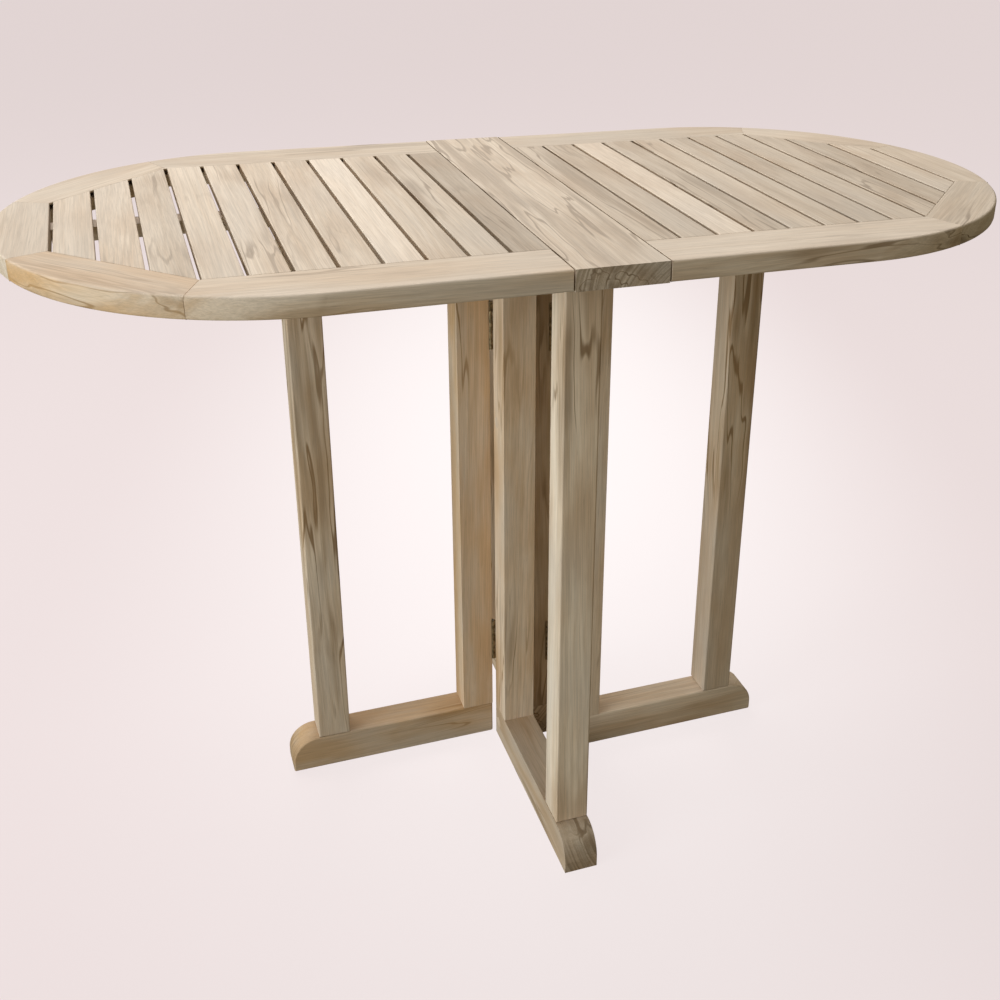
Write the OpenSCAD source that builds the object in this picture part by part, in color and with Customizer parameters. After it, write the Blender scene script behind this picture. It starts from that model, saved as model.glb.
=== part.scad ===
// Gateleg table: an oval slatted top in three parts on four narrow leg frames.
// The centre board is fixed to two leg frames bolted side by side. Each leaf is hinged
// to the centre board and rests on a gate, a leg frame that swings on two butt hinges.
// +X runs along the open top, +Y across it and +Z up. The origin is on the floor, below
// the middle of the top. The right-hand half is the left-hand half turned 180 degrees
// about Z, so every paired part is one module drawn at 0 or 180 degrees.

/* [Table top] */
// Length of the open top
top_l = 1120; // [1090:5:1200]
// Width of the top
top_w = 566; // [540:2:610]
// Height of the top's upper surface above the floor
top_h = 750; // [700:5:800]
// Thickness of the centre board and the frame rails
rail_t = 22; // [20:1:26]
// Thickness of the slats
slat_t = 10; // [9:1:13]
// Width of the fixed centre board
centre_w = 96; // [92:1:110]
// Joint between the centre board and a leaf
leaf_gap = 1.6; // [1.4:0.1:2]
// Width of the rail beside the hinges
inner_rail_w = 37; // [32:1:42]
// Number of slats in each leaf
slat_n = 10; // [9:1:11]
// Gap between neighbouring slats
slat_gap = 4; // [3:0.5:6]
// Width of the front and back rails
side_rail_w = 68; // [60:1:80]
// Width of the end rail at its middle
end_rail_w = 56.5; // [50:0.5:65]
// How many slats the corner rail's straight edge cuts across
corner_slats = 3; // [2:1:4]

/* [Leg frames] */
// Side of a square post, and the thickness of a foot
post = 40; // [38:1:43]
// Height of a foot
foot_h = 46; // [40:1:52]
// Length of a fixed leg frame's foot
fixed_l = 280; // [260:1:285]
// Length of a gate's foot
gate_l = 269; // [250:1:275]
// Foot length beyond the outer post
toe_l = 35; // [34:1:44]
// Radius of a foot's rounded end
toe_r = 33; // [24:1:33]
// Height of the rail between the tops of two posts
head_h = 32; // [30:1:60]
// Thickness of that rail
head_t = 30; // [24:1:34]
// How far the two fixed frames pass each other at the middle
frame_lap = 24; // [16:1:28]

/* [Hinges] */
// Length of a butt hinge
hinge_l = 60; // [50:5:70]
// Width of one hinge plate, from the pin
plate_w = 21; // [18:1:24]
// Thickness of a hinge plate
plate_t = 1.1; // [0.8:0.1:1.1]
// Radius of a hinge barrel
barrel_r = 2; // [1.9:0.1:2.2]
// Radius of a hinge pin
pin_r = 1; // [0.9:0.05:1.1]
// Distance of the two leaf hinges from the middle of the table
leaf_hinge_y = 165; // [140:5:175]
// Height of the middle of the lower gate hinge
gate_hinge_low = 150; // [120:10:250]
// Height of the middle of the upper gate hinge
gate_hinge_high = 590; // [500:10:640]

/* [Hidden] */
$fn = 64;
arc_fn = 180;
eps = 0.01;
cut = 1;                                // how far a cut runs past the surface it opens

// Heights
under_z = top_h - rail_t;               // underside of the centre board and rails
slat_z = top_h - slat_t;                // underside of the slats
clear_z = 0.3;                          // clearance between a gate and the leaf above it
batten_drop = 2.9;                      // how far a batten stands below the rails
gate_z = under_z - batten_drop - clear_z;

// Leaf plan, for the right-hand leaf
leaf_x0 = centre_w / 2 + leaf_gap;      // edge beside the centre board
field_x0 = leaf_x0 + inner_rail_w;      // where the slats start
field_x1 = top_l / 2 - end_rail_w;      // where they end
field_y = top_w / 2 - side_rail_w;      // half the length of a full slat
pitch = (field_x1 - field_x0 - slat_gap) / slat_n;
corner_x = field_x1 - slat_gap / 2 - corner_slats * pitch;
corner_y = field_y - (field_x1 - corner_x);
flat_x = (top_l - top_w) / 2;           // centre of the rounded end
mitre = tan(22.5);
reach = top_w;                          // longer than any mitre

// Tongue and groove between the slats and the rails
tongue_t = 5;
tongue_l = 8;
tongue_z = slat_z + (slat_t - tongue_t) / 2;
groove_spare = 1;

// Batten below each leaf's slats, in line with its gate
batten_w = 28;
gate_gap = 2.6;                         // room for two hinge plates
lap_y = frame_lap / 2;
gate_y0 = lap_y + gate_gap;
batten_y = gate_y0 + post / 2;

// Gate pivot, for the left-hand gate
pin_off = gate_gap / 2;                 // hinge pin to the wood face behind a plate
pivot_x = post + gate_gap;
pivot_y = lap_y + pin_off;
gate_x0 = pivot_x + pin_off;            // inner end of a gate

// Mortise and tenon joints of the leg frames
tenon_l = 24;
tenon_w = 26;
tenon_t = 14;
head_tenon_l = 14;
head_tenon_t = 12;
head_tenon_step = 6;                    // shoulder above and below a head rail's tenon

// Hinges
knuckles = 5;
knuckle_l = hinge_l / knuckles;
knuckle_gap = 0.2;
bore_r = pin_r + 0.05;
relief_r = barrel_r + 0.5;
leaf_pin_x = centre_w / 2 + leaf_gap / 2;
knuckle_clear = 0.3;                    // between a plate's edge and the other's knuckles
screw_hole_r = 1.8;
// Screw holes of a plate, as shares of its length and of its width
screw_holes = [[-0.33, 0.6], [0, 0.72], [0.33, 0.6]];

// Fasteners
bolt_r = 3;
bolt_head_r = 7;
bolt_head_h = 5;
plug_t = 6;                             // wooden plug over a bolt's head or nut
bolt_heights = [23, 260, 470, 690];
board_screw_r = 2.2;
board_screw_clear = 0.3;
board_screw_head_r = 4.5;
board_screw_head_h = 3;
board_screw_bite = 14;
board_screw_deep = 12;
board_screw_ys = [-0.68, -0.32];        // places along a fixed frame, as shares of its length

teak = [0.72, 0.62, 0.48];
teak_dark = [0.60, 0.49, 0.36];
teak_pale = [0.78, 0.70, 0.56];
brass = [0.72, 0.58, 0.32];
steel = [0.62, 0.63, 0.65];

SIDES = ["left", "right"];
LEAF_RAILS = ["inner_rail", "front_rail", "back_rail", "front_corner_rail",
    "back_corner_rail", "end_rail", "batten"];
FRAMES = ["front_frame", "rear_frame", "left_gate", "right_gate"];
FRAME_PARTS = ["foot", "outer_post", "inner_post", "head_rail"];

// ---- outlines ----

// The whole top: a rectangle with two half-round ends
module top_outline() {
    square([2 * flat_x, top_w], center = true);
    for (s = [-1, 1])
        translate([s * flat_x, 0]) circle(r = top_w / 2, $fn = arc_fn);
}

// The slatted field of a right-hand leaf, grown by d on its front, back and corners
module field(d) {
    polygon([
        [leaf_x0, -field_y - d], [corner_x + d * mitre, -field_y - d],
        [field_x1 + d, -corner_y - d * mitre], [field_x1 + d, corner_y + d * mitre],
        [corner_x + d * mitre, field_y + d], [leaf_x0, field_y + d]]);
}

// Plan of the front or back rail: s is -1 at the front and 1 at the back
module side_sector(s) {
    polygon([
        [leaf_x0, s * field_y], [corner_x, s * field_y],
        [corner_x + reach * mitre, s * (field_y + reach)], [leaf_x0, s * (field_y + reach)]]);
}

module corner_sector(s) {
    polygon([
        [corner_x, s * field_y], [field_x1, s * corner_y],
        [field_x1 + reach, s * (corner_y + reach * mitre)],
        [corner_x + reach * mitre, s * (field_y + reach)]]);
}

module end_sector() {
    polygon([
        [field_x1, -corner_y], [field_x1 + reach, -corner_y - reach * mitre],
        [field_x1 + reach, corner_y + reach * mitre], [field_x1, corner_y]]);
}

// ---- parts of a leaf, drawn for the right-hand side ----

module turned(side) {
    rotate([0, 0, side == "left" ? 180 : 0]) children();
}

// Recess for the two hinges along the joint beside the centre board, at this x
module leaf_hinge_recess(x) {
    for (s = [-1, 1]) {
        translate([x, s * leaf_hinge_y, under_z]) rotate([90, 0, 0])
            cylinder(r = relief_r, h = hinge_l + cut, center = true);
        translate([x - plate_w, s * leaf_hinge_y - hinge_l / 2, under_z - cut])
            cube([2 * plate_w, hinge_l, cut + pin_off]);
    }
}

module groove() {
    translate([0, 0, tongue_z])
        linear_extrude(tongue_t) field(tongue_l + groove_spare);
}

module rail(tone) {
    color(tone) translate([0, 0, under_z])
        linear_extrude(rail_t) intersection() {
            top_outline();
            children();
        }
}

module side_rail(s) {
    difference() {
        rail(teak) side_sector(s);
        groove();
        leaf_hinge_recess(leaf_pin_x);
    }
}

module corner_rail(s) {
    difference() {
        rail(teak_pale) corner_sector(s);
        groove();
    }
}

module end_rail() {
    rail(teak) end_sector();
}

// A board across the field from x0 to x1, with tongues into the rails at its ends
module cross_board(x0, x1, z0, tone) {
    color(tone) {
        translate([0, 0, z0]) linear_extrude(top_h - z0) intersection() {
            field(0);
            translate([x0, -reach]) square([x1 - x0, 2 * reach]);
        }
        translate([0, 0, tongue_z]) linear_extrude(tongue_t) intersection() {
            field(tongue_l);
            translate([x0, -reach]) square([x1 - x0, 2 * reach]);
        }
    }
}

module inner_rail() {
    difference() {
        cross_board(leaf_x0, field_x0, under_z, teak_dark);
        leaf_hinge_recess(leaf_pin_x);
    }
}

module slat(i) {
    x0 = field_x0 + slat_gap + (i - 1) * pitch;
    cross_board(x0, x0 + pitch - slat_gap, slat_z, i % 2 == 0 ? teak : teak_pale);
}

module batten() {
    color(teak_dark)
        translate([field_x0, -batten_y - batten_w / 2, under_z - batten_drop])
            cube([field_x1 - field_x0, batten_w, slat_z - under_z + batten_drop]);
}

// A turned leaf's front is the back of the drawn one
module leaf_part(side, name) {
    front = side == "left" ? 1 : -1;
    if (name == "inner_rail") inner_rail();
    if (name == "front_rail") side_rail(front);
    if (name == "back_rail") side_rail(-front);
    if (name == "front_corner_rail") corner_rail(front);
    if (name == "back_corner_rail") corner_rail(-front);
    if (name == "end_rail") end_rail();
    if (name == "batten") batten();
}

// ---- centre board ----

module centre_board() {
    difference() {
        color(teak_pale) translate([-centre_w / 2, -top_w / 2, under_z])
            cube([centre_w, top_w, rail_t]);
        for (s = [-1, 1]) leaf_hinge_recess(s * leaf_pin_x);
        board_screw_bores(board_screw_r);
    }
}

// ---- leg frames ----
// A frame is drawn along +X from its inner end at x = 0, with y from 0 to post.

module foot(l) {
    difference() {
        color(teak) translate([0, post, 0]) rotate([90, 0, 0])
            linear_extrude(post) {
                square([l - toe_r, foot_h]);
                square([l, foot_h - toe_r]);
                intersection() {
                    square([l, foot_h]);
                    translate([l - toe_r, foot_h - toe_r]) circle(r = toe_r, $fn = arc_fn);
                }
            }
        foot_tenons(l);
    }
}

module foot_tenons(l) {
    for (x = [0, l - toe_l - post])
        translate([x + (post - tenon_w) / 2, (post - tenon_t) / 2, foot_h - tenon_l])
            cube([tenon_w, tenon_t, tenon_l + eps]);
}

module frame_post(x, top_z, tone) {
    color(tone) {
        translate([x, 0, foot_h]) cube([post, post, top_z - foot_h]);
        translate([x + (post - tenon_w) / 2, (post - tenon_t) / 2, foot_h - tenon_l])
            cube([tenon_w, tenon_t, tenon_l + eps]);
    }
}

module head_rail(l, top_z) {
    rail_x1 = l - toe_l - post;
    color(teak_dark) {
        translate([post, (post - head_t) / 2, top_z - head_h])
            cube([rail_x1 - post, head_t, head_h]);
        translate([post - head_tenon_l, (post - head_tenon_t) / 2, top_z - head_h + head_tenon_step])
            cube([rail_x1 - post + 2 * head_tenon_l, head_tenon_t, head_h - 2 * head_tenon_step]);
    }
}

module frame_part(name, l, top_z) {
    if (name == "foot") foot(l);
    if (name == "outer_post")
        difference() {
            frame_post(l - toe_l - post, top_z, teak);
            head_rail(l, top_z);
        }
    if (name == "inner_post")
        difference() {
            frame_post(0, top_z, teak_dark);
            head_rail(l, top_z);
        }
    if (name == "head_rail") head_rail(l, top_z);
}

// The front fixed frame points to -Y with its side at x = 0; the rear one is its copy
module fixed_place(frame) {
    rotate([0, 0, frame == "rear_frame" ? 180 : 0])
        translate([-post, lap_y, 0]) rotate([0, 0, -90]) children();
}

// The right gate points to +X; the left one is its copy
module gate_place(frame) {
    rotate([0, 0, frame == "left_gate" ? 180 : 0])
        translate([gate_x0, -gate_y0 - post, 0]) children();
}

module fixed_part(frame, name) {
    difference() {
        fixed_place(frame) frame_part(name, fixed_l, under_z);
        bolt_bores();
        board_screw_bores(board_screw_r + board_screw_clear);
        board_screw_counterbores();
    }
}

module gate_part(frame, name) {
    difference() {
        gate_place(frame) frame_part(name, gate_l, gate_z);
        gate_hinge_relief();
    }
}

// ---- hinges ----
// A hinge is drawn about a pin along Z through the origin. Its fixed plate runs to +X with
// its back at y = -pin_off, and its moving plate to +Y with its back at x = -pin_off.

// The stretches of the barrel that belong to one plate: first is 0 (fixed) or 1 (moving)
module knuckle_set(first, r, gap) {
    for (k = [first : 2 : knuckles - 1])
        translate([0, 0, -hinge_l / 2 + k * knuckle_l + gap / 2])
            cylinder(r = r, h = knuckle_l - gap);
}

module plate_blank(first) {
    difference() {
        union() {
            translate([0, -pin_off, -hinge_l / 2]) cube([plate_w, plate_t, hinge_l]);
            knuckle_set(first, barrel_r, knuckle_gap);
        }
        knuckle_set(1 - first, barrel_r + knuckle_clear, 0);
        cylinder(r = first == 0 ? pin_r : bore_r, h = hinge_l + cut, center = true);
        for (at = screw_holes)
            translate([plate_w * at[1], 0, hinge_l * at[0]]) rotate([90, 0, 0])
                cylinder(r = screw_hole_r, h = 2 * pin_off + cut, center = true);
    }
}

module fixed_plate() { plate_blank(0); }

module moving_plate() { mirror([1, -1, 0]) plate_blank(1); }

// A moving plate of a hinge laid flat, opposite its fixed plate
module flat_moving_plate() { mirror([1, 0, 0]) plate_blank(1); }

module hinge_pin() {
    cylinder(r = pin_r, h = hinge_l, center = true);
}

// Both gates' hinges stand on this line; the copy at 180 degrees is the right gate's
module gate_hinge_place() {
    for (z = [gate_hinge_low, gate_hinge_high])
        translate([-pivot_x, pivot_y, z]) children();
}

// The right leaf's hinges; the fixed plate runs to -X under the centre board
module leaf_hinge_place() {
    for (s = [-1, 1])
        translate([leaf_pin_x, s * leaf_hinge_y, under_z])
            rotate([-90, 0, 0]) mirror([1, 0, 0]) children();
}

module fixed_hinge_plates() {
    color(brass) for (a = [0, 180]) rotate([0, 0, a]) {
        gate_hinge_place() fixed_plate();
        leaf_hinge_place() fixed_plate();
    }
}

module hinge_pins() {
    color(steel) for (a = [0, 180]) rotate([0, 0, a]) {
        gate_hinge_place() hinge_pin();
        leaf_hinge_place() hinge_pin();
    }
}

module leaf_hinge_plates(side) {
    color(brass) turned(side) leaf_hinge_place() flat_moving_plate();
}

module gate_hinge_plates(side) {
    color(brass) rotate([0, 0, side == "right" ? 180 : 0])
        gate_hinge_place() moving_plate();
}

module gate_hinge_relief() {
    for (a = [0, 180]) rotate([0, 0, a])
        gate_hinge_place() cylinder(r = relief_r, h = hinge_l + cut, center = true);
}

// ---- fasteners ----

// Places along X, at each bolt, with +Z pointing out of the frames
module at_bolts() {
    for (z = bolt_heights) translate([0, 0, z]) rotate([0, 90, 0]) children();
}

// Both ends of a bolt, this far in from the frames' outer sides
module at_bolt_ends(deep) {
    at_bolts() for (a = [0, 180]) rotate([0, a, 0]) translate([0, 0, post - deep]) children();
}

module bolt_bores() {
    at_bolts() cylinder(r = bolt_r, h = 2 * post, center = true);
    at_bolt_ends(plug_t + bolt_head_h) cylinder(r = bolt_head_r, h = plug_t + bolt_head_h + cut);
}

module frame_bolts() {
    color(steel) {
        at_bolts() cylinder(r = bolt_r, h = 2 * (post - plug_t) - bolt_head_h, center = true);
        at_bolt_ends(plug_t + bolt_head_h) cylinder(r = bolt_head_r, h = bolt_head_h);
    }
}

module bolt_plugs() {
    color(teak) at_bolt_ends(plug_t) cylinder(r = bolt_head_r, h = plug_t);
}

// Four screws go up through the fixed frames' head rails into the centre board
module at_board_screws() {
    for (a = [0, 180]) rotate([0, 0, a]) for (k = board_screw_ys)
        translate([-post / 2, lap_y + k * fixed_l, 0]) children();
}

module board_screw_bores(r) {
    at_board_screws() translate([0, 0, under_z - head_h])
        cylinder(r = r, h = head_h + board_screw_bite);
}

module board_screw_counterbores() {
    at_board_screws() translate([0, 0, under_z - head_h - cut])
        cylinder(r = board_screw_head_r, h = board_screw_deep + cut);
}

module board_screws() {
    color(steel) at_board_screws() {
        z0 = under_z - head_h + board_screw_deep;
        translate([0, 0, z0 - board_screw_head_h])
            cylinder(r = board_screw_head_r, h = board_screw_head_h);
        translate([0, 0, z0 - eps])
            cylinder(r = board_screw_r, h = under_z + board_screw_bite - z0 + eps);
    }
}

// ---- the table ----

centre_board();
fixed_hinge_plates();
hinge_pins();
frame_bolts();
bolt_plugs();
board_screws();
for (s = SIDES) {
    leaf_hinge_plates(s);
    gate_hinge_plates(s);
    for (p = LEAF_RAILS)
        turned(s) leaf_part(s, p);
    for (i = [1 : slat_n])
        turned(s) slat(i);
}
for (p = FRAME_PARTS) {
    for (f = ["front_frame", "rear_frame"])
        fixed_part(f, p);
    for (f = ["left_gate", "right_gate"])
        gate_part(f, p);
}
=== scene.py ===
"""Looks of the gateleg table: teak boards with growth rings, brass hinges, soft studio light."""
import math
import random

import bpy
from mathutils import Euler, Matrix, Vector


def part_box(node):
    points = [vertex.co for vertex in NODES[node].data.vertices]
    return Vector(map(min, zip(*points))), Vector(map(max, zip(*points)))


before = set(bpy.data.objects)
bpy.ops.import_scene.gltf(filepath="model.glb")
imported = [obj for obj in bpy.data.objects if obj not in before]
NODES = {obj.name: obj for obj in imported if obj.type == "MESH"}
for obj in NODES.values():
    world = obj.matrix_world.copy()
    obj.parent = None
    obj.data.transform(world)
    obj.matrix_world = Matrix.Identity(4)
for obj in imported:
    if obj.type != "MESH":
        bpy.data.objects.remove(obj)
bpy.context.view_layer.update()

SCENE = bpy.context.scene
MM = 0.001

# ---------------------------------------------------------------- camera

CAMERA_AT = Vector((-0.442, -1.335, 1.110))
CAMERA_YAW = math.radians(20.8)      # right of straight ahead, which is +Y
CAMERA_PITCH = math.radians(25.1)    # below level
CAMERA_ROLL = math.radians(1.33)
CAMERA_LENS = 45.7
CAMERA_SHIFT = (-0.078, -0.067)


def add_camera():
    ahead = Vector((
        math.sin(CAMERA_YAW) * math.cos(CAMERA_PITCH),
        math.cos(CAMERA_YAW) * math.cos(CAMERA_PITCH),
        -math.sin(CAMERA_PITCH)))
    level = Vector((math.cos(CAMERA_YAW), -math.sin(CAMERA_YAW), 0))
    over = level.cross(ahead)
    right = level * math.cos(CAMERA_ROLL) + over * math.sin(CAMERA_ROLL)
    up = over * math.cos(CAMERA_ROLL) - level * math.sin(CAMERA_ROLL)
    turn = Matrix((right, up, -ahead)).transposed().to_4x4()
    data = bpy.data.cameras.new("camera")
    data.lens = CAMERA_LENS
    data.sensor_width = 36
    data.shift_x, data.shift_y = CAMERA_SHIFT
    data.clip_end = 100
    camera = bpy.data.objects.new("camera", data)
    camera.matrix_world = Matrix.Translation(CAMERA_AT) @ turn
    SCENE.collection.objects.link(camera)
    SCENE.camera = camera


add_camera()

# ---------------------------------------------------------------- node helpers


def srgb(r, g, b):
    """A colour as a picture shows it, 0 to 255, in linear light."""
    def linear(c):
        c /= 255
        return c / 12.92 if c <= 0.04045 else ((c + 0.055) / 1.055) ** 2.4
    return (linear(r), linear(g), linear(b), 1)


class Net:
    """Adds nodes to a node tree. An input is a value or another node's output."""

    def __init__(self, tree):
        self.tree = tree

    def node(self, kind, inputs=(), **settings):
        n = self.tree.nodes.new(kind)
        for key, value in settings.items():
            setattr(n, key, value)
        for key, value in dict(inputs).items():
            if isinstance(value, bpy.types.NodeSocket):
                self.tree.links.new(value, n.inputs[key])
            else:
                n.inputs[key].default_value = value
        return n

    def math(self, operation, *values, clamp=False):
        n = self.node("ShaderNodeMath", enumerate(values), operation=operation, use_clamp=clamp)
        return n.outputs[0]

    def vector(self, operation, *values):
        n = self.node("ShaderNodeVectorMath", enumerate(values), operation=operation)
        return n.outputs[0]

    def noise(self, place, scale, detail=2.0, roughness=0.5):
        """Noise of a 3-D place, with scale waves per metre along each axis. Its average is 0.5."""
        return self.node("ShaderNodeTexNoise", {
            "Vector": self.vector("MULTIPLY", place, scale),
            "Scale": 1.0, "Detail": detail, "Roughness": roughness})

    def noise_1d(self, w, detail=2.0, roughness=0.5):
        n = self.node("ShaderNodeTexNoise", {
            "W": w, "Scale": 1.0, "Detail": detail, "Roughness": roughness}, noise_dimensions="1D")
        return n.outputs[0]

    def band(self, value, low, high, to_low=0.0, to_high=1.0):
        """value mapped smoothly from low..high to to_low..to_high, and held there."""
        n = self.node("ShaderNodeMapRange", {
            "Value": value, "From Min": low, "From Max": high,
            "To Min": to_low, "To Max": to_high}, interpolation_type="SMOOTHSTEP")
        return n.outputs[0]

    def mix(self, factor, a, b, blend="MIX"):
        n = self.node("ShaderNodeMix", data_type="RGBA", blend_type=blend)
        sockets = {s.identifier: s for s in n.inputs}
        for key, value in {"Factor_Float": factor, "A_Color": a, "B_Color": b}.items():
            if isinstance(value, bpy.types.NodeSocket):
                self.tree.links.new(value, sockets[key])
            else:
                sockets[key].default_value = value
        return {s.identifier: s for s in n.outputs}["Result_Color"]


# ---------------------------------------------------------------- teak

PALE = srgb(222, 206, 188)
MID = srgb(203, 184, 163)
TAN = srgb(178, 152, 126)
STREAK = srgb(112, 90, 68)
GREYED = srgb(194, 184, 174)
# paler colour for what faces up: sun-bleached wood and painted top light
BLEACHED_AND_TOP_LIT = srgb(230, 216, 203)
GOLD = srgb(206, 160, 104)


def teak_group():
    """Solid teak. Grain runs along the vector's z and growth rings circle x = y = 0."""
    group = bpy.data.node_groups.new("teak", "ShaderNodeTree")
    face = group.interface
    face.new_socket("Vector", in_out="INPUT", socket_type="NodeSocketVector")
    for name in ("Tone", "Warm", "Figure", "Bleach_and_top_light", "End", "Up"):
        face.new_socket(name, in_out="INPUT", socket_type="NodeSocketFloat")
    face.new_socket("Color", in_out="OUTPUT", socket_type="NodeSocketColor")
    for name in ("Roughness", "Height"):
        face.new_socket(name, in_out="OUTPUT", socket_type="NodeSocketFloat")
    net = Net(group)
    given = net.node("NodeGroupInput").outputs
    place = given["Vector"]

    def sway(scale, detail, size):
        """Movement to and fro, in metres, that is size wide in all."""
        noise = net.noise(place, scale, detail=detail).outputs["Color"]
        return net.vector("MULTIPLY", net.vector("SUBTRACT", noise, (0.5,) * 3), (size,) * 3)

    # The trunk isn't straight: slow bends, then small waves, move the rings sideways
    bends = sway((1.8, 1.8, 1.3), 1.0, 0.05)
    waves = sway((12, 12, 5.0), 2.0, 0.014)
    bent = net.vector("ADD", place, net.vector("ADD", bends, waves))
    flat = net.vector("MULTIPLY", bent, (1, 1, 0))
    radius = net.node("ShaderNodeVectorMath", {0: flat}, operation="LENGTH").outputs["Value"]

    # Every scale is in waves per metre: across, out of the face and along the grain
    rings = net.noise_1d(net.math("MULTIPLY", radius, 260.0), detail=3.0, roughness=0.6)
    zones = net.noise_1d(net.math("MULTIPLY_ADD", radius, 60.0, 31.0), detail=1.0)
    strand = net.noise(bent, (130, 130, 4.5), detail=3.0, roughness=0.6).outputs[0]
    fibre = net.noise(place, (850, 850, 14), detail=2.0, roughness=0.6).outputs[0]
    pores = net.noise(place, (2100, 2100, 50), detail=1.0).outputs[0]
    blotch = net.noise(place, (22, 22, 6.0), detail=3.0).outputs[0]
    patch = net.noise(place, (9, 9, 3.0), detail=2.0).outputs[0]

    def weigh(*pairs):
        total = net.math("MULTIPLY", *pairs[0])
        for value, share in pairs[1:]:
            total = net.math("MULTIPLY_ADD", value, share, total)
        return total

    growth = weigh((rings, 0.3), (zones, 0.3), (strand, 0.4))
    colour = net.mix(net.band(growth, 0.40, 0.60), PALE, MID)
    colour = net.mix(net.band(blotch, 0.46, 0.74, 0.0, 0.7), colour, TAN)

    # Dark mineral streaks run with the grain, and only in patches
    where = net.band(net.math("MULTIPLY_ADD", given["Figure"], 0.2, patch), 0.54, 0.70)
    lines = net.noise(bent, (42, 42, 2.6), detail=2.5, roughness=0.45).outputs[0]
    apart = net.math("ABSOLUTE", net.math("SUBTRACT", lines, 0.5))
    vein = net.math("MULTIPLY", net.band(apart, 0.004, 0.020, 1.0, 0.0), where)
    colour = net.mix(net.math("MULTIPLY", vein, 0.9), colour, STREAK)
    hazy = net.math("MULTIPLY", net.band(lines, 0.50, 0.64), where)
    colour = net.mix(net.math("MULTIPLY", hazy, 0.6), colour, STREAK)

    # Weather greys the wood in patches. Warm boards turn golden, and what faces the sky is paler: partly
    # sun-bleaching, partly painted top light
    colour = net.mix(net.band(patch, 0.52, 0.34, 0.0, 0.5), colour, GREYED)
    colour = net.mix(net.math("MULTIPLY", given["Warm"], net.band(blotch, 0.30, 0.62, 0.35)), colour, GOLD)
    sky_and_top_light = net.math("MULTIPLY", net.band(given["Up"], 0.25, 0.95), given["Bleach_and_top_light"])
    colour = net.mix(sky_and_top_light, colour, BLEACHED_AND_TOP_LIT)

    # Sawn ends are darker, most of all where the rings are dense
    end = net.band(given["End"], 0.55, 0.95)
    colour = net.mix(net.math("MULTIPLY", end, net.band(rings, 0.35, 0.65, 0.1, 0.5)), colour, STREAK)

    grain = net.band(fibre, 0.3, 0.7, 0.88, 1.07)
    pitted = net.band(pores, 0.64, 0.76, 1.0, 0.82)
    shade = net.math("MULTIPLY", net.math("MULTIPLY", grain, pitted), given["Tone"])
    dull = net.node("ShaderNodeCombineColor", {0: shade, 1: shade, 2: shade}).outputs[0]
    colour = net.mix(1.0, colour, dull, blend="MULTIPLY")

    rough = net.band(net.math("ADD", fibre, rings), 0.7, 1.3, 0.56, 0.74)
    height = weigh((fibre, 0.5), (rings, 0.35), (pitted, 0.6))
    net.node("NodeGroupOutput", {"Color": colour, "Roughness": rough, "Height": height})
    return group


TEAK = teak_group()
GRAIN_DEPTH = 0.6 * MM
SCRATCH_DEPTH = 0.1 * MM
MOST_LEAN = 1.2                      # degrees between a board's length and its trunk
ALONG = {"x": (1, 0, 0), "y": (0, 1, 0), "z": (0, 0, 1), "rising": (1, 1, 0), "falling": (1, -1, 0)}


def grain_turn(grain):
    """Local x runs across the board's face, y out of it and z along the grain."""
    along = Vector(ALONG[grain]).normalized()
    face = Vector((0, 1, 0)) if grain == "z" else Vector((0, 0, 1))
    return Matrix((face.cross(along), face, along)).transposed()


def teak(name, centre, grain, tone=1.0, warm=0.0, figure=0.0, bleach_and_top_light=0.0, ring=(0.06, 0.2), cut=(-50, 50)):
    """Wood for one board, from its own place in its own trunk.

    ring and cut are ranges to draw from. ring is how far off the trunk's middle is, in metres. cut is
    where that lies, in degrees: 0 is to one side of the board, which shows straight lines, and 90 is
    behind the board or in front of it, which shows arches.
    """
    draw = random.Random(name)
    tips = [math.radians(draw.uniform(-MOST_LEAN, MOST_LEAN)) for _ in range(2)]
    lean = Euler((*tips, 0))
    turn = grain_turn(grain) @ lean.to_matrix()
    spin = math.radians(draw.uniform(*cut) + draw.choice((0, 180)))
    far = draw.uniform(*ring)
    pith = Vector((math.cos(spin) * far, math.sin(spin) * far, draw.uniform(-40, 40)))
    mat = bpy.data.materials.new(f"teak_{name}")
    mat.use_nodes = True
    net = Net(mat.node_tree)
    shader = mat.node_tree.nodes["Principled BSDF"]
    links = mat.node_tree.links
    own = net.node("ShaderNodeTexCoord").outputs
    mapped = net.node("ShaderNodeMapping", {
        "Vector": own["Object"], "Location": Vector(centre) + turn @ pith, "Rotation": turn.to_euler()},
        vector_type="TEXTURE").outputs[0]
    group = mat.node_tree.nodes.new("ShaderNodeGroup")
    group.node_tree = TEAK
    links.new(mapped, group.inputs["Vector"])

    def facing(axis):
        """How far the surface faces along an axis, from 1 to -1."""
        dot = net.node("ShaderNodeVectorMath", {0: own["Normal"], 1: axis}, operation="DOT_PRODUCT")
        return dot.outputs["Value"]

    links.new(net.math("ABSOLUTE", facing(Vector(ALONG[grain]).normalized())), group.inputs["End"])
    links.new(facing(Vector((0, 0, 1))), group.inputs["Up"])
    group.inputs["Tone"].default_value = tone * draw.uniform(0.94, 1.04)
    group.inputs["Warm"].default_value = warm * draw.uniform(0.6, 1.0)
    group.inputs["Figure"].default_value = figure * draw.uniform(0.7, 1.3)
    group.inputs["Bleach_and_top_light"].default_value = bleach_and_top_light
    bump = net.node("ShaderNodeBump", {
        "Height": group.outputs["Height"], "Strength": 0.3, "Distance": GRAIN_DEPTH})
    links.new(group.outputs["Color"], shader.inputs["Base Color"])
    links.new(group.outputs["Roughness"], shader.inputs["Roughness"])
    links.new(bump.outputs[0], shader.inputs["Normal"])
    shader.inputs["Specular IOR Level"].default_value = 0.3
    return mat


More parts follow.
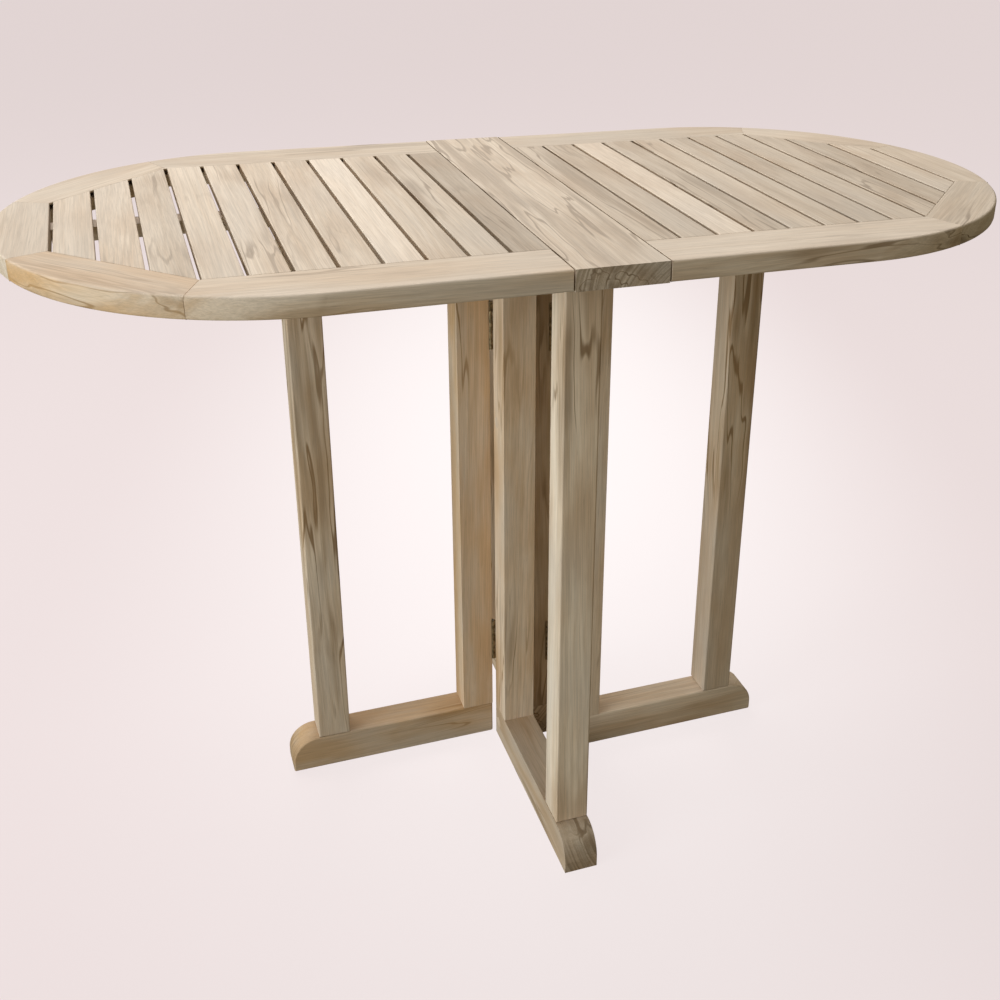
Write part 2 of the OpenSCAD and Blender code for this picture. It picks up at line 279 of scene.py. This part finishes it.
def metal(name, colour, worn, rough):
    """Dull metal with faint tarnish."""
    mat = bpy.data.materials.new(name)
    mat.use_nodes = True
    net = Net(mat.node_tree)
    shader = mat.node_tree.nodes["Principled BSDF"]
    place = net.node("ShaderNodeTexCoord").outputs["Object"]
    tarnish = net.noise(place, (180, 180, 180), detail=4.0).outputs[0]
    scratch = net.noise(place, (60, 60, 2600), detail=2.0).outputs[0]
    colour = net.mix(net.band(tarnish, 0.42, 0.66), colour, worn)
    links = mat.node_tree.links
    links.new(colour, shader.inputs["Base Color"])
    roughness = net.band(net.math("ADD", tarnish, scratch), 0.7, 1.3, rough - 0.08, rough + 0.14)
    links.new(roughness, shader.inputs["Roughness"])
    bump = net.node("ShaderNodeBump", {"Height": scratch, "Strength": 0.2, "Distance": SCRATCH_DEPTH})
    links.new(bump.outputs[0], shader.inputs["Normal"])
    shader.inputs["Metallic"].default_value = 1.0
    return mat


BRASS = metal("hinge_brass", srgb(150, 130, 100), srgb(104, 90, 68), 0.5)
STEEL = metal("fastener_steel", srgb(188, 188, 186), srgb(134, 132, 128), 0.32)

# ---------------------------------------------------------------- CAD nodes

# How the top's boards look, how the frames' look, and what differs in the boards that stand out
# How pale what faces up gets is partly sun-bleaching, partly painted top light
TOP_LOOK = {"tone": 0.94, "warm": 0.14, "figure": 0.2, "bleach_and_top_light": 0.4}
FRAME_LOOK = {"tone": 1.06, "warm": 0.35, "figure": 0.4}
SPECIAL = {
    "centre_board": {"tone": 0.96, "figure": 1.0, "ring": (0.10, 0.12), "cut": (24, 30)},
    "left_leaf_inner_rail": {"tone": 0.73, "warm": 0.15},
    "left_leaf_front_rail": {"tone": 0.97, "warm": 0.45, "figure": 0.3},
    "left_leaf_slat_8": {"tone": 0.90, "figure": 0.6, "ring": (0.02, 0.04)},
    "left_leaf_slat_6": {"tone": 0.95, "figure": 0.9},
    "left_leaf_slat_4": {"tone": 0.93, "warm": 0.12},
    "left_leaf_slat_3": {"tone": 1.05, "warm": 0.0, "bleach_and_top_light": 0.6},
    "left_leaf_front_corner_rail": {"tone": 0.88, "warm": 1.0},
    "right_leaf_inner_rail": {"tone": 0.86, "figure": 0.9, "warm": 0.15},
    "right_leaf_slat_1": {"tone": 0.86, "warm": 0.15},
    "right_leaf_slat_2": {"tone": 1.05, "figure": -0.5, "bleach_and_top_light": 0.6},
    "right_leaf_slat_3": {"tone": 0.85},
    "right_leaf_slat_4": {"tone": 0.90},
    "right_leaf_slat_5": {"tone": 0.84, "figure": 0.5},
    "right_leaf_slat_6": {"tone": 0.82},
    "right_leaf_slat_7": {"tone": 0.87},
    "right_leaf_slat_8": {"tone": 0.84, "figure": 0.4},
    "right_leaf_slat_9": {"tone": 0.86},
    "right_leaf_front_rail": {"tone": 1.0, "bleach_and_top_light": 0.6},
    "front_frame_outer_post": {"tone": 1.24, "warm": 0.12, "figure": 0.0},
    "front_frame_inner_post": {"tone": 1.08, "warm": 0.6},
    "left_gate_inner_post": {"tone": 0.97, "warm": 0.85},
    "left_gate_outer_post": {"tone": 0.98, "warm": 0.35, "figure": 0.8},
    "right_gate_outer_post": {"tone": 1.12, "figure": 0.8},
    "rear_frame_inner_post": {"tone": 0.78},
    "left_gate_foot": {"tone": 0.82, "warm": 0.9},
    "front_frame_foot": {"tone": 0.86, "warm": 0.5},
    "right_gate_foot": {"tone": 1.15},
}


def grain_of(name):
    if "post" in name:
        return "z"
    if "slat" in name or name.endswith(("inner_rail", "end_rail", "centre_board")):
        return "y"
    if "corner" in name:
        return "rising" if ("left" in name) != ("front" in name) else "falling"
    if name == "bolt_plugs":
        return "z"
    if name.startswith(("front_frame", "rear_frame")):
        return "y"
    return "x"


def wood_for(name):
    low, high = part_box(name)
    centre = (low + high) / 2
    under = "frame" in name or "gate" in name or name == "bolt_plugs"
    look = {**(FRAME_LOOK if under else TOP_LOOK), **SPECIAL.get(name, {})}
    return teak(name, centre, grain_of(name), **look)


SHARP = math.radians(35)
SHORTEST = 2.0 * MM                  # shorter edges belong to bores, and stay crisp
LONG = 100 * MM                      # a longer edge is a board's side, and a shorter one its end
NEAR_OUTLINE = 0.4 * MM              # an edge this near to the top's outline belongs to it
LEVEL_WITHIN = 0.5 * MM              # the two ends of a level edge differ by no more in height
ROUNDEST = 3.0 * MM
TOP_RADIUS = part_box("centre_board")[1].y
TOP_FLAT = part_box("right_leaf_end_rail")[1].x - TOP_RADIUS


def arris_group(name, rim, side, end):
    """Sets how round outer edges get: rim on the top's outline, side on long edges, end on short ones."""
    group = bpy.data.node_groups.new(name, "GeometryNodeTree")
    group.interface.new_socket("Geometry", in_out="INPUT", socket_type="NodeSocketGeometry")
    group.interface.new_socket("Geometry", in_out="OUTPUT", socket_type="NodeSocketGeometry")
    net = Net(group)
    angle = net.node("GeometryNodeInputMeshEdgeAngle").outputs["Signed Angle"]
    ends = net.node("GeometryNodeInputMeshEdgeVertices").outputs
    one, two = ends["Position 1"], ends["Position 2"]
    long = net.node("ShaderNodeVectorMath", {0: one, 1: two}, operation="DISTANCE").outputs["Value"]
    wanted = net.math(
        "MULTIPLY", net.math("GREATER_THAN", angle, SHARP), net.math("GREATER_THAN", long, SHORTEST))
    inset = []
    heights = []
    for tip in (one, two):
        at = net.node("ShaderNodeSeparateXYZ", {"Vector": tip}).outputs
        past = net.math("MAXIMUM", net.math("SUBTRACT", net.math("ABSOLUTE", at["X"]), TOP_FLAT), 0.0)
        squares = net.math("ADD", net.math("MULTIPLY", past, past), net.math("MULTIPLY", at["Y"], at["Y"]))
        inset.append(net.math("SUBTRACT", TOP_RADIUS, net.math("SQRT", squares)))
        heights.append(at["Z"])
    outline = net.math("LESS_THAN", net.math("MAXIMUM", *inset), NEAR_OUTLINE)
    level = net.math("COMPARE", *heights, LEVEL_WITHIN)
    outline = net.math("MULTIPLY", outline, level)
    plain = net.math("MULTIPLY_ADD", net.math("GREATER_THAN", long, LONG), side - end, end)
    weight = net.math("MULTIPLY", outline, net.math("SUBTRACT", rim, plain))
    weight = net.math("DIVIDE", net.math("ADD", weight, plain), ROUNDEST)
    stored = net.node("GeometryNodeStoreNamedAttribute", {
        "Geometry": net.node("NodeGroupInput").outputs[0], "Name": "bevel_weight_edge",
        "Value": net.math("MULTIPLY", wanted, weight)}, data_type="FLOAT", domain="EDGE")
    net.node("NodeGroupOutput", {"Geometry": stored.outputs[0]})
    return group


ARRISES = {
    "rail": arris_group("rail_arris", ROUNDEST, 0.9 * MM, 0.5 * MM),
    "slat": arris_group("slat_arris", 1.1 * MM, 1.1 * MM, 0.5 * MM),
    "leg": arris_group("leg_arris", 2.2 * MM, 2.2 * MM, 2.2 * MM),
    "small": arris_group("small_arris", 0.25 * MM, 0.25 * MM, 0.25 * MM),
}


def kind_of(name):
    if "hinge" in name or name in ("frame_bolts", "bolt_plugs", "board_screws"):
        return "small"
    if "frame" in name or "gate" in name:
        return "leg"
    return "slat" if "slat" in name else "rail"


def material_for(name):
    if name in ("hinge_pins", "frame_bolts", "board_screws"):
        return STEEL
    return BRASS if "hinge" in name else wood_for(name)


WELD_WITHIN = 0.01 * MM
FLAT_WITHIN = math.radians(0.5)
ARRIS_STEPS = 3


def dress(name, obj):
    """Rounds the arrises of a CAD node and gives it its material."""
    mat = material_for(name)
    for slot in obj.material_slots:
        slot.material = mat
    weld = obj.modifiers.new("weld", "WELD")
    weld.merge_threshold = WELD_WITHIN
    flatten = obj.modifiers.new("flatten", "DECIMATE")
    flatten.decimate_type = "DISSOLVE"
    flatten.angle_limit = FLAT_WITHIN
    obj.modifiers.new("arris_weight", "NODES").node_group = ARRISES[kind_of(name)]
    bevel = obj.modifiers.new("arris", "BEVEL")
    bevel.width = ROUNDEST
    bevel.segments = ARRIS_STEPS
    bevel.limit_method = "WEIGHT"
    bevel.use_clamp_overlap = True
    bevel.harden_normals = True


for node_name, node_object in sorted(NODES.items()):
    dress(node_name, node_object)

# ---------------------------------------------------------------- studio

POOL_AT = (0.34, 0.94, 0)            # the middle of the oval pool of light on the floor
POOL_TURN = (0, 0, math.radians(-16))
POOL_SIZE = (0.90, 2.40, 1)          # its half width and half length
POOL_EDGE = 0.1                      # where it starts fading, from 0 in the middle to 1 outside
POOL = srgb(253, 246, 246)
FAR = srgb(230, 217, 217)
GLOW = 1.08
SHADOW_SHARE = 0.16                  # how much of the floor's look is lit by the lamps
BOUNCE = srgb(142, 134, 112)         # what the wood sees of the floor
LIT = srgb(236, 226, 226)            # the floor's colour where the lamps light it
DIM = srgb(255, 244, 214)            # what the wood sees of the walls
DIM_STRENGTH = 0.29
FAR_STRENGTH = 0.95                  # meets the look of the floor at the horizon
FLOOR_REACH = 30.0


def camera_or(net, seen, other):
    """A shader that the camera sees one way and the light another way."""
    factor = net.node("ShaderNodeLightPath").outputs["Is Camera Ray"]
    return net.node("ShaderNodeMixShader", {0: factor, 1: other, 2: seen}).outputs[0]


def add_floor():
    mesh = bpy.data.meshes.new("floor")
    corners = [(x * FLOOR_REACH, y * FLOOR_REACH, 0) for x, y in ((-1, -1), (1, -1), (1, 1), (-1, 1))]
    mesh.from_pydata(corners, [], [(0, 1, 2, 3)])
    floor = bpy.data.objects.new("floor", mesh)
    SCENE.collection.objects.link(floor)
    mat = bpy.data.materials.new("floor")
    mat.use_nodes = True
    tree = mat.node_tree
    tree.nodes.clear()
    net = Net(tree)
    place = net.node("ShaderNodeMapping", {
        "Vector": net.node("ShaderNodeTexCoord").outputs["Object"],
        "Location": POOL_AT, "Rotation": POOL_TURN, "Scale": POOL_SIZE}, vector_type="TEXTURE").outputs[0]
    away = net.node("ShaderNodeVectorMath", {0: place}, operation="LENGTH").outputs["Value"]
    colour = net.mix(net.band(away, POOL_EDGE, 1.0), POOL, FAR)
    glow = net.node("ShaderNodeEmission", {"Color": colour, "Strength": GLOW}).outputs[0]
    lit = net.node("ShaderNodeBsdfDiffuse", {"Color": LIT}).outputs[0]
    seen = net.node("ShaderNodeMixShader", {0: SHADOW_SHARE, 1: glow, 2: lit}).outputs[0]
    bounce = net.node("ShaderNodeBsdfDiffuse", {"Color": BOUNCE}).outputs[0]
    net.node("ShaderNodeOutputMaterial", {"Surface": camera_or(net, seen, bounce)})
    mesh.materials.append(mat)


def add_softbox(name, at, towards, size, watts, colour=(1, 1, 1)):
    data = bpy.data.lights.new(name, "AREA")
    data.shape = "RECTANGLE"
    data.size, data.size_y = size
    data.energy = watts
    data.color = colour
    light = bpy.data.objects.new(name, data)
    light.location = at
    light.rotation_euler = (Vector(towards) - Vector(at)).to_track_quat("-Z", "Y").to_euler()
    SCENE.collection.objects.link(light)


def add_world():
    world = bpy.data.worlds.new("studio")
    world.use_nodes = True
    tree = world.node_tree
    tree.nodes.clear()
    net = Net(tree)
    seen = net.node("ShaderNodeBackground", {"Color": FAR, "Strength": FAR_STRENGTH}).outputs[0]
    dim = net.node("ShaderNodeBackground", {"Color": DIM, "Strength": DIM_STRENGTH}).outputs[0]
    net.node("ShaderNodeOutputWorld", {"Surface": camera_or(net, seen, dim)})
    SCENE.world = world


add_floor()
add_softbox("overhead", at=(-0.4, 1.3, 3.0), towards=(0, 0, 0.7), size=(2.6, 2.2), watts=76)
add_softbox(
    "left", at=(-3.0, -1.0, 0.9), towards=(0, 0, 0.5), size=(2.0, 1.5), watts=78, colour=(0.90, 1.0, 1.05))
add_world()
SCENE.view_settings.view_transform = "Standard"
